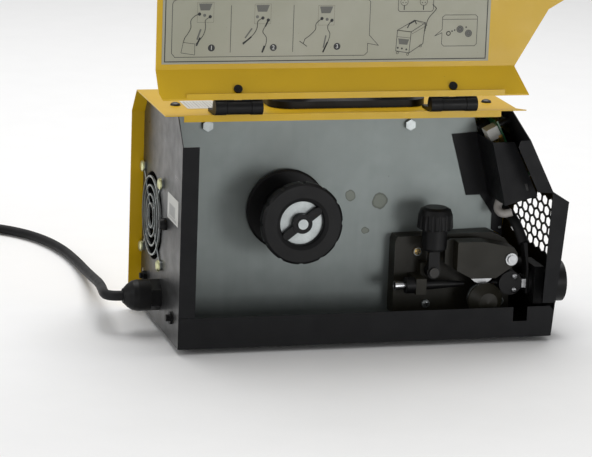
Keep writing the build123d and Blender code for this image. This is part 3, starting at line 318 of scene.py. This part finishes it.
for subpart in frame["record"]["subparts"]:
    name = subpart["node"]
    node = NODES[name]
    look = LOOKS[SPECIAL.get(name, subpart["material_slot"])]
    node.data.materials.clear()
    node.data.materials.append(look)

# The rear panel's folded edge, within this many millimetres of the door side, keeps the plain black coat; the rest of
# the panel has the lighter rear_coat, painted light.
REAR_EDGE = 1.3
rear = NODES["rear_panel"].data
rear.materials.append(LOOKS["black_coat"])
for polygon in rear.polygons:
    if polygon.center.y < case(0, REAR_EDGE, 0).y and abs(polygon.normal.y) > 0.9:
        polygon.material_index = 1


# ---------------------------------------------------------------- pieces
def piece_from(name, vertices, faces, look, body):
    mesh = bpy.data.meshes.new(name)
    mesh.from_pydata([tuple(vertex) for vertex in vertices], [], faces)
    mesh.update()
    piece = bpy.data.objects.new(name, mesh)
    bpy.context.scene.collection.objects.link(piece)
    mesh.materials.append(LOOKS[look])
    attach(piece, body)
    return piece


class Print:
    """Ink lines and filled shapes lying on a flat face: u runs right and v runs up, in millimetres."""

    def __init__(self, origin, right, up, lift):
        self.origin, self.right, self.up = origin, right.normalized(), up.normalized()
        self.out = self.right.cross(self.up) * lift
        self.vertices, self.faces = [], []

    def spot(self, u, v):
        self.vertices.append(self.origin + (self.right * u + self.up * v) / 1000.0 + self.out)
        return len(self.vertices) - 1

    def fill(self, points):
        self.faces.append([self.spot(u, v) for u, v in points])

    def line(self, points, width=0.45, closed=False):
        joined = list(points) + ([points[0]] if closed else [])
        for (u0, v0), (u1, v1) in zip(joined, joined[1:]):
            length = math.hypot(u1 - u0, v1 - v0)
            across, along = (v0 - v1) / length * width / 2, (u1 - u0) / length * width / 2
            end_u, end_v = along * 0.7, -across * 0.7
            self.fill([(u0 - across - end_u, v0 - along - end_v), (u1 - across + end_u, v1 - along + end_v),
                       (u1 + across + end_u, v1 + along + end_v), (u0 + across - end_u, v0 + along - end_v)])

    def curve(self, points, width=0.6):
        """A line drawn smoothly through its points."""
        ends = [points[0]] + list(points) + [points[-1]]
        drawn = []
        for a, b, c, d in zip(ends, ends[1:], ends[2:], ends[3:]):
            for step in range(6):
                t = step / 6.0
                drawn.append(tuple(0.5 * (2 * b[k] + (c[k] - a[k]) * t + (2 * a[k] - 5 * b[k] + 4 * c[k] - d[k]) * t * t
                                          + (3 * b[k] - a[k] - 3 * c[k] + d[k]) * t ** 3) for k in (0, 1)))
        self.line(drawn + [points[-1]], width)

    def disc(self, u, v, radius, sides=28):
        turn = 2 * math.pi / sides
        self.fill([(u + radius * math.cos(turn * k), v + radius * math.sin(turn * k)) for k in range(sides)])

    def ring(self, u, v, radius, width=0.4, sides=28):
        turn = 2 * math.pi / sides
        points = [(u + radius * math.cos(turn * k), v + radius * math.sin(turn * k)) for k in range(sides)]
        self.line(points, width, True)

    def frame(self, u0, v0, u1, v1, width=0.5, corner=2.5):
        points = []
        for cu, cv, start in ((u1 - corner, v1 - corner, 0), (u0 + corner, v1 - corner, 90),
                              (u0 + corner, v0 + corner, 180), (u1 - corner, v0 + corner, 270)):
            for step in range(5):
                angle = math.radians(start + 22.5 * step)
                points.append((cu + corner * math.cos(angle), cv + corner * math.sin(angle)))
        self.line(points, width, True)

    def piece(self, name, look, body, slot):
        return piece_from(name, self.vertices, self.faces, look, body)


def label_print():
    """The chart inside the door: three hook-up cells, the machine, its plug and a wire liner, with no words."""
    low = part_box("door_label")[0]
    corner = Vector(low)
    right, up = Vector((1, 0, 0)), Vector((0, 0, 1))
    ink = Print(corner, right, up, 0.00012)
    grey = Print(corner, right, up, 0.00010)
    over = Print(corner, right, up, 0.00018)
    ink.line([(2.8, 2.4), (322.8, 2.4), (322.8, 147.2), (2.8, 147.2)], 0.9, True)
    ink.line([(9.3, 10.5), (9.3, 58.0), (11.0, 61.0), (14.0, 62.0), (201.0, 62.0), (204.0, 59.0), (204.0, 26.3),
              (213.6, 16.2), (202.6, 18.3), (202.6, 9.5), (199.5, 6.7), (12.5, 6.7)], 0.5, True)
    for u in (66.5, 128.0):
        ink.line([(u, 11.0), (u, 56.0)], 0.45)
    for left in (35.0, 91.0, 153.8):
        drop = (left - 35.0) * 0.03
        grey.fill([(left, 58.0 - drop), (left + 13.0, 58.0 - drop), (left + 10.5, 51.5 - drop),
                   (left + 1.5, 51.5 - drop)])
        ink.line([(left - 1.5, 59.0 - drop), (left + 14.5, 59.0 - drop), (left + 14.5, 40.0 - drop),
                  (left - 1.5, 40.0 - drop)], 0.16, True)
    for u, v in ((35.6, 48.0), (46.0, 45.4), (97.6, 43.8), (103.0, 41.8), (156.0, 42.8), (166.0, 41.0)):
        ink.disc(u, v, 1.6)
    for u, v in ((40.6, 46.8), (92.2, 45.0), (161.2, 42.0)):
        grey.disc(u, v, 1.5)
    ink.curve([(35.4, 48.0), (31.0, 46.0), (27.4, 41.8), (27.5, 35.0), (24.5, 29.0), (22.0, 25.5), (20.5, 21.0)])
    ink.line([(20.5, 21.0), (31.8, 19.4), (31.8, 8.8), (18.5, 10.9)], 0.4, True)
    ink.curve([(46.0, 45.0), (41.5, 42.0), (41.8, 35.5), (40.5, 29.5), (37.5, 24.5), (33.0, 19.5)])
    ink.line([(36.5, 25.0), (33.5, 18.0)], 1.5)
    grey.line([(37.0, 33.0), (34.0, 24.0)], 1.6)
    ink.curve([(97.0, 43.5), (92.8, 40.5), (92.2, 34.5), (89.5, 29.0), (84.5, 24.0), (78.6, 20.0)])
    ink.line([(86.5, 25.5), (79.0, 19.0)], 1.4)
    grey.line([(87.0, 33.5), (81.0, 25.0)], 1.5)
    ink.curve([(103.0, 41.5), (100.0, 35.5), (98.0, 30.5), (101.5, 25.0), (101.4, 19.0), (98.5, 11.0)])
    ink.line([(99.8, 16.5), (98.0, 11.0)], 1.6)
    ink.line([(102.5, 40.5), (100.5, 36.0)], 1.4)
    ink.curve([(156.0, 42.8), (150.5, 38.0), (149.9, 32.3), (145.0, 27.0), (139.9, 23.2)])
    ink.line([(139.9, 23.2), (138.2, 18.6)], 0.6)
    ink.line([(134.7, 21.0), (142.0, 16.0)], 0.6)
    ink.curve([(166.0, 41.0), (162.4, 36.4), (162.3, 32.5), (164.5, 27.5), (162.2, 19.0), (158.2, 10.5)])
    ink.line([(162.2, 19.5), (158.2, 10.5)], 1.4)
    grey.line([(160.5, 26.0), (158.5, 15.0)], 1.4)
    for u, v in ((48.0, 15.4), (108.8, 15.2), (172.0, 15.6)):
        ink.disc(u, v, 3.4)
    # the machine in outline
    ink.line([(232.2, 30.8), (246.1, 29.0), (244.7, 8.4), (231.2, 10.6)], 0.55, True)
    ink.line([(232.2, 30.8), (249.0, 40.5), (260.2, 38.0), (246.1, 29.0)], 0.55, True)
    ink.line([(260.2, 38.0), (258.4, 17.4), (244.7, 8.4)], 0.55)
    ink.line([(231.8, 24.6), (245.8, 23.0)], 0.35)
    ink.line([(249.0, 40.5), (262.0, 35.5), (247.0, 27.0)], 0.3)
    grey.fill([(233.3, 22.8), (244.4, 21.6), (242.6, 16.4), (234.3, 17.2)])
    for u, v in ((233.2, 13.6), (237.4, 12.9), (241.9, 11.9)):
        ink.disc(u, v, 0.95, 14)
    for u, v in ((233.0, 8.8), (243.4, 7.2), (256.2, 15.2)):
        ink.ring(u, v, 1.1, 0.4, 14)
    ink.line([(242.2, 33.2), (244.0, 36.8), (249.6, 39.8), (250.9, 36.9)], 1.1)
    ink.curve([(259.8, 30.0), (261.0, 36.0), (263.3, 42.5), (270.0, 50.5), (269.8, 52.8), (266.8, 55.5)], 0.7)
    # its two plugs in a box, and the liner in a balloon
    ink.frame(232.0, 49.0, 267.5, 84.0)
    for u in (238.0, 257.5):
        ink.ring(u, 58.5, 3.7, 0.4)
        ink.line([(u, 54.8), (u, 50.8)], 0.9)
        for turn in (90, 210, 330):
            ink.disc(u + 1.7 * math.cos(math.radians(turn)), 58.5 + 1.7 * math.sin(math.radians(turn)), 0.5, 10)
    ink.line([(280.0, 45.3), (311.0, 45.3), (313.0, 43.3), (313.0, 16.8), (311.0, 14.8), (279.6, 14.8), (277.4, 17.0),
              (277.4, 27.9), (270.1, 24.8), (277.4, 31.0), (277.4, 43.3)], 0.45, True)
    ink.line([(277.4, 41.0), (313.0, 41.0)], 0.4)
    ink.ring(284.0, 27.2, 1.9, 0.8, 16)
    for u, v in ((287.6, 29.4), (290.2, 30.4), (301.8, 33.2)):
        ink.disc(u, v, 0.8, 12)
    for u, v in ((295.6, 31.3), (304.4, 27.1)):
        grey.disc(u, v, 3.3)
        ink.ring(u, v, 3.4, 0.35)
        ink.ring(u, v, 1.6, 0.3, 16)
    # above the edge of the picture: plain panels with a spool, a wire path and a scale
    for u0, u1 in ((9.3, 74.0), (82.0, 146.0), (154.0, 222.0)):
        ink.frame(u0, 70.0, u1, 139.0)
    ink.ring(41.5, 105.0, 24.0, 0.5, 48)
    ink.ring(41.5, 105.0, 8.0, 0.5)
    ink.ring(41.5, 105.0, 16.0, 0.3, 40)
    ink.curve([(90.0, 126.0), (103.0, 118.0), (114.0, 105.0), (128.0, 100.0), (140.0, 100.0)], 0.5)
    for v, radius in ((108.5, 7.0), (91.5, 7.0)):
        ink.ring(114.0, v, radius, 0.45)
    for step in range(11):
        angle = math.radians(220.0 - 26.0 * step)
        ink.line([(188.0 + 20.0 * math.cos(angle), 103.0 + 20.0 * math.sin(angle)),
                  (188.0 + 24.0 * math.cos(angle), 103.0 + 24.0 * math.sin(angle))], 0.6)
    ink.ring(188.0, 103.0, 15.0, 0.5, 36)
    ink.line([(188.0, 103.0), (197.0, 112.0)], 0.9)
    ink.frame(232.0, 92.0, 313.0, 139.0)
    for row in range(4):
        ink.line([(232.0, 100.0 + 10.0 * row), (313.0, 100.0 + 10.0 * row)], 0.3)
    for u in (259.0, 286.0):
        ink.line([(u, 92.0), (u, 139.0)], 0.3)
    ink.piece("label_lines", "ink", "door", "label")
    grey.piece("label_shading", "grey_print", "door", "label")
    for number, (u, v) in enumerate(((48.0, 15.4), (108.8, 15.2), (172.0, 15.6)), start=1):
        words = bpy.data.curves.new("label_number_" + str(number), "FONT")
        words.body = str(number)
        words.size = 0.0056
        words.align_x, words.align_y = "CENTER", "CENTER"
        piece = bpy.data.objects.new("label_number_" + str(number), words)
        bpy.context.scene.collection.objects.link(piece)
        piece.matrix_world = Matrix.Translation(corner + Vector((u / 1000.0, -0.0002, v / 1000.0))) @ Matrix.Rotation(
            math.pi / 2, 4, "X")
        words.materials.append(LOOKS["white_paint"])
        bpy.context.view_layer.update()
        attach(piece, "door")


label_print()

# ---------------------------------------------------------------- small fittings
def lathe(name, start, direction, profile, look, body, sides=32):
    """A turned piece: profile is (radius, distance) in millimetres, closed where the radius is nought."""
    direction = Vector(direction).normalized()
    across = direction.orthogonal().normalized()
    third = direction.cross(across)
    start = case(*start)
    vertices, faces = [], []
    for radius, distance in profile:
        for step in range(sides):
            angle = 2 * math.pi * step / sides
            spoke = across * math.cos(angle) + third * math.sin(angle)
            vertices.append(start + (direction * distance + spoke * max(radius, 0.01)) / 1000.0)
    for ring in range(len(profile) - 1):
        for step in range(sides):
            following = (step + 1) % sides
            faces.append((ring * sides + step, ring * sides + following,
                          (ring + 1) * sides + following, (ring + 1) * sides + step))
    piece = piece_from(name, vertices, faces, look, body)
    smooth(piece, 40.0)
    return piece


def cross_head(name, centre, radius, height, look, slot):
    """A domed screw head facing the door side, with its cross-shaped hollow drawn as black lines on the dome, painted
    shade.
    """
    x, y, z = centre
    lathe(name, centre, (0, -1, 0), [(radius, 0), (radius, height * 0.3), (radius * 0.86, height * 0.7),
                                     (radius * 0.55, height * 0.93), (0, height)], look, "case")
    # Black cross lines on the dome stand in for the dark inside of the cross-shaped hollow: painted shade.
    painted_recess_shade = Print(case(x, y - height, z), Vector((1, 0, 0)), Vector((0, 0, 1)), 0.00006)
    for angle in (20.0, 110.0):
        u, v = radius * 0.5 * math.cos(math.radians(angle)), radius * 0.5 * math.sin(math.radians(angle))
        painted_recess_shade.line([(-u, -v), (u, v)], radius * 0.22)
    painted_recess_shade.piece(name + "_recess", "ink", "case", slot)


def small_fittings():
    cross_head("plate_screw_1", (255.0, 57.9, 76.0), 4.3, 3.4, "brass", "steel")
    cross_head("plate_screw_2", (266.0, 57.9, 22.0), 4.3, 3.4, "steel", "steel")
    cross_head("plate_screw_3", (344.0, 57.9, 22.0), 4.3, 3.4, "steel", "steel")
    for number, height in enumerate((40.5, 54.5), start=1):
        cross_head("outlet_screw_" + str(number), (349.2, 29.4, height), 3.1, 2.4, "chrome", "chrome")
    lathe("wire_funnel", (227.0, 38.0, 46.5), (1, 0, 0), [(1.4, 4.0), (4.0, -0.2), (4.7, -0.2), (4.7, 0.6), (3.5, 11.0),
                                                       (3.2, 11.0)], "chrome", "case")
    fan_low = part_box("fan_rotor")[0]
    place = Vector((fan_low[0] - 0.00015, case(0, 124.4, 0).y, case(0, 0, 103.7).z))
    sticker = Print(place, Vector((0, -1, 0)), Vector((0, 0, 1)), 0.0)
    sticker.disc(0.0, 0.0, 12.0, 40)
    sticker.piece("fan_sticker", "silver_sticker", "fan", "label")
    rear = Print(case(-0.25, 58.0, 118.0), Vector((0, -1, 0)), Vector((0, 0, 1)), 0.0001)
    rear.fill([(8.0, 5.0), (33.0, 5.0), (33.0, 16.0), (8.0, 16.0)])
    for line in range(4):
        rear.line([(5.0, 2.0 + 0.7 * line), (40.0, 2.0 + 0.7 * line)], 0.25)
    rear.piece("rear_label_print", "silver_sticker", "case", "label")
    tag = Print(case(16.0, 53.0, 225.0), Vector((1, 0, 0)), Vector((0, 1, 0)), 0.00015)
    tag.fill([(0.0, 0.0), (33.0, 0.0), (33.0, 39.0), (0.0, 39.0)])
    tag.piece("cover_sticker", "white_label", "case", "label")
    bars = Print(case(16.0, 53.0, 225.0), Vector((1, 0, 0)), Vector((0, 1, 0)), 0.0003)
    for line in range(9):
        bars.line([(3.0 + 3.2 * line, 5.0), (3.0 + 3.2 * line, 34.0)], 0.6 if line % 3 else 1.1)
    bars.piece("cover_sticker_bars", "silver_sticker", "case", "label")


# The sloping control panel's top and bottom edges, x and z, and its two directions.
SLANT_TOP, SLANT_FOOT = (335.2, 224.0), (374.5, 145.5)
SLANT_DOWN = Vector((SLANT_FOOT[0] - SLANT_TOP[0], 0.0, SLANT_FOOT[1] - SLANT_TOP[1])).normalized()
SLANT_OUT = Vector((-SLANT_DOWN.z, 0.0, SLANT_DOWN.x))


def on_slant(down, y, proud):
    """A point on the control panel: down from its top edge and proud of its face, in case millimetres."""
    return tuple(Vector((SLANT_TOP[0], y, SLANT_TOP[1])) + SLANT_DOWN * down + SLANT_OUT * proud)


def rounded_block(name, centre, axes, sizes, edge, look, body):
    """A block with bevelled edges, set square to the given axes; sizes in millimetres."""
    corners = []
    for i in (-0.5, 0.5):
        for j in (-0.5, 0.5):
            for k in (-0.5, 0.5):
                step = axes[0] * (i * sizes[0]) + axes[1] * (j * sizes[1]) + axes[2] * (k * sizes[2])
                corners.append(case(*centre) + step / 1000.0)
    faces = [(0, 1, 3, 2), (4, 6, 7, 5), (0, 4, 5, 1), (2, 3, 7, 6), (0, 2, 6, 4), (1, 5, 7, 3)]
    piece = piece_from(name, corners, faces, look, body)
    bevel = piece.modifiers.new("edges", "BEVEL")
    bevel.width, bevel.segments = edge / 1000.0, 3
    return piece


def board_fittings():
    """Sleeves on the board's connectors and near post, its nut, a black sheet behind the box's slot as painted shade,
    the bracket's rivet.
    """
    across = Vector((0.0, 1.0, 0.0))
    connectors = ((52.0, "white_label", "ribbon"), (78.0, "black_plastic", "black_plastic"))
    for number, (y, look, slot) in enumerate(connectors, start=1):
        rounded_block("board_connector_" + str(number), on_slant(20.0, y, -21.4), (across, SLANT_DOWN, SLANT_OUT),
                      (15.4, 12.4, 12.4), 0.5, look, "case")
    lathe("board_post", on_slant(14.0, 45.0, -13.3), tuple(SLANT_OUT), [(0, 0), (2.7, 0), (2.7, 11.6), (0, 11.6)],
          "black_plastic", "case", 24)
    lathe("board_nut", on_slant(26.0, 44.8, -15.0), tuple(-SLANT_OUT), [(2.4, 0), (2.4, 3.6), (0, 3.6)],
          "brass", "case", 6)
    # A black sheet behind the control box's slot: painted shade where the slot's inside would be dark.
    corners = [case(350.0, 25.3, 141.0), case(359.0, 25.3, 141.0), case(359.0, 25.3, 151.0), case(350.0, 25.3, 151.0)]
    piece_from("box_slot_painted_shade", corners, [(0, 1, 2, 3)], "ink", "case")
    lathe("bracket_rivet", (346.7, 75.9, 93.5), (0, -1, 0), [(1.4, 0), (1.4, 0.5), (0, 1.0)],
          "steel", "case", 24)


small_fittings()
board_fittings()

# ---------------------------------------------------------------- mains lead
ROUTE = [(-0.0366, 0.0880, 0.0320), (-0.0428, 0.0880, 0.0320), (-0.0482, 0.0911, 0.0318), (-0.0513, 0.0965, 0.0314),
         (-0.0516, 0.1040, 0.0308), (-0.0500, 0.1180, 0.0292), (-0.0460, 0.1435, 0.0255), (-0.0400, 0.1870, 0.0190),
         (-0.0355, 0.2400, 0.0105), (-0.0325, 0.2950, 0.0035), (-0.0320, 0.3500, 0.0003), (-0.0370, 0.4030, 0.0003),
         (-0.0500, 0.4520, 0.0003), (-0.0710, 0.4890, 0.0003), (-0.1000, 0.5150, 0.0003), (-0.1380, 0.5340, 0.0003)]
COIL = Vector((-0.196, 0.492, 0.0))
CORD = 0.010


def coil_turns():
    """Five turns laid two wide and three high, 16 points a turn, ending on the outside of the top layer."""
    turns = [(0.0616, 0.0003), (0.0508, 0.0003), (0.0508, 0.0106), (0.0616, 0.0106), (0.0616, 0.0209)]
    steps = 16
    points = []
    for index, (radius, height) in enumerate(turns):
        following = turns[min(index + 1, len(turns) - 1)]
        for step in range(steps):
            share = max(0.0, (step - 10.0) / 6.0)
            r = radius + (following[0] - radius) * share
            z = height + (following[1] - height) * share
            angle = math.radians(80.0 + 360.0 * step / steps)
            points.append((COIL.x + r * math.cos(angle), COIL.y + r * math.sin(angle), z))
    return points


def mains_lead():
    tail = [(-0.196, 0.5536, 0.0209), (-0.213, 0.5535, 0.0200), (-0.231, 0.5532, 0.0155), (-0.248, 0.5530, 0.0143)]
    points = ROUTE + coil_turns() + tail
    curve = bpy.data.curves.new("mains_lead", "CURVE")
    curve.dimensions = "3D"
    spline = curve.splines.new("NURBS")
    spline.points.add(len(points) - 1)
    for point, place in zip(spline.points, points):
        point.co = (*(CASE + Vector(place)), 1.0)
    spline.order_u = 3
    spline.use_endpoint_u = True
    spline.resolution_u = 8
    curve.bevel_depth = CORD / 2
    curve.bevel_resolution = 8
    curve.use_fill_caps = True
    piece = bpy.data.objects.new("mains_lead", curve)
    bpy.context.scene.collection.objects.link(piece)
    curve.materials.append(LOOKS["black_rubber"])
    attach(piece, "case")
    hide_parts("mains_cord", "cord_coil")


mains_lead()

# ---------------------------------------------------------------- floor, light and camera
def floor():
    mesh = bpy.data.meshes.new("floor")
    reach = 12.0
    corners = [(-reach, -reach, 0), (reach, -reach, 0), (reach, reach, 0), (-reach, reach, 0)]
    mesh.from_pydata(corners, [], [(0, 1, 2, 3)])
    mesh.materials.append(coat("floor_paper", (0.86, 0.86, 0.86), 0.8, grain=300.0, depth=0.00001, patchy=0.01))
    piece = bpy.data.objects.new("floor", mesh)
    piece.location = (0, 0, -0.0005)
    bpy.context.scene.collection.objects.link(piece)


def lamp(name, place, aim, power, width, height, colour=(1.0, 1.0, 1.0)):
    data = bpy.data.lights.new(name, "AREA")
    data.shape = "RECTANGLE"
    data.size, data.size_y = width, height
    data.energy = power
    data.color = colour
    item = bpy.data.objects.new(name, data)
    item.location = place
    item.rotation_euler = (Vector(aim) - Vector(place)).to_track_quat("-Z", "Y").to_euler()
    bpy.context.scene.collection.objects.link(item)


floor()
lamp("overhead", (0.2, 0.9, 2.6), (0.0, 0.2, 0.1), 66.0, 2.6, 2.0)
lamp("key_right", (0.62, -1.55, 0.16), (0.0, 0.0, 0.12), 5.0, 0.42, 0.42)
lamp("left_fill", (-2.2, -0.6, 0.9), (-0.1, 0.0, 0.1), 9.0, 1.2, 1.2)

world = bpy.data.worlds.new("studio")
bpy.context.scene.world = world
world.use_nodes = True
world.node_tree.nodes["Background"].inputs["Color"].default_value = (1.0, 1.0, 1.0, 1.0)
world.node_tree.nodes["Background"].inputs["Strength"].default_value = 0.4
bpy.context.scene.view_settings.view_transform = "Standard"


def camera():
    azimuth, elevation, roll = math.radians(-15.4013), math.radians(13.4762), math.radians(2.0803)
    target, distance = case(113.41, 0.0, 116.92), 2.73368
    back = Vector((math.sin(azimuth) * math.cos(elevation), -math.cos(azimuth) * math.cos(elevation),
                   math.sin(elevation)))
    right = Vector((math.cos(azimuth), math.sin(azimuth), 0.0))
    up = back.cross(right)
    turned_right = right * math.cos(roll) + up * math.sin(roll)
    turned_up = up * math.cos(roll) - right * math.sin(roll)
    data = bpy.data.cameras.new("camera")
    data.sensor_width = 36.0
    data.lens = 173.17
    data.clip_end = 60.0
    item = bpy.data.objects.new("camera", data)
    bpy.context.scene.collection.objects.link(item)
    place = target + back * distance
    item.matrix_world = Matrix((
        (turned_right.x, turned_up.x, back.x, place.x),
        (turned_right.y, turned_up.y, back.y, place.y),
        (turned_right.z, turned_up.z, back.z, place.z),
        (0.0, 0.0, 0.0, 1.0)))
    bpy.context.scene.camera = item


camera()
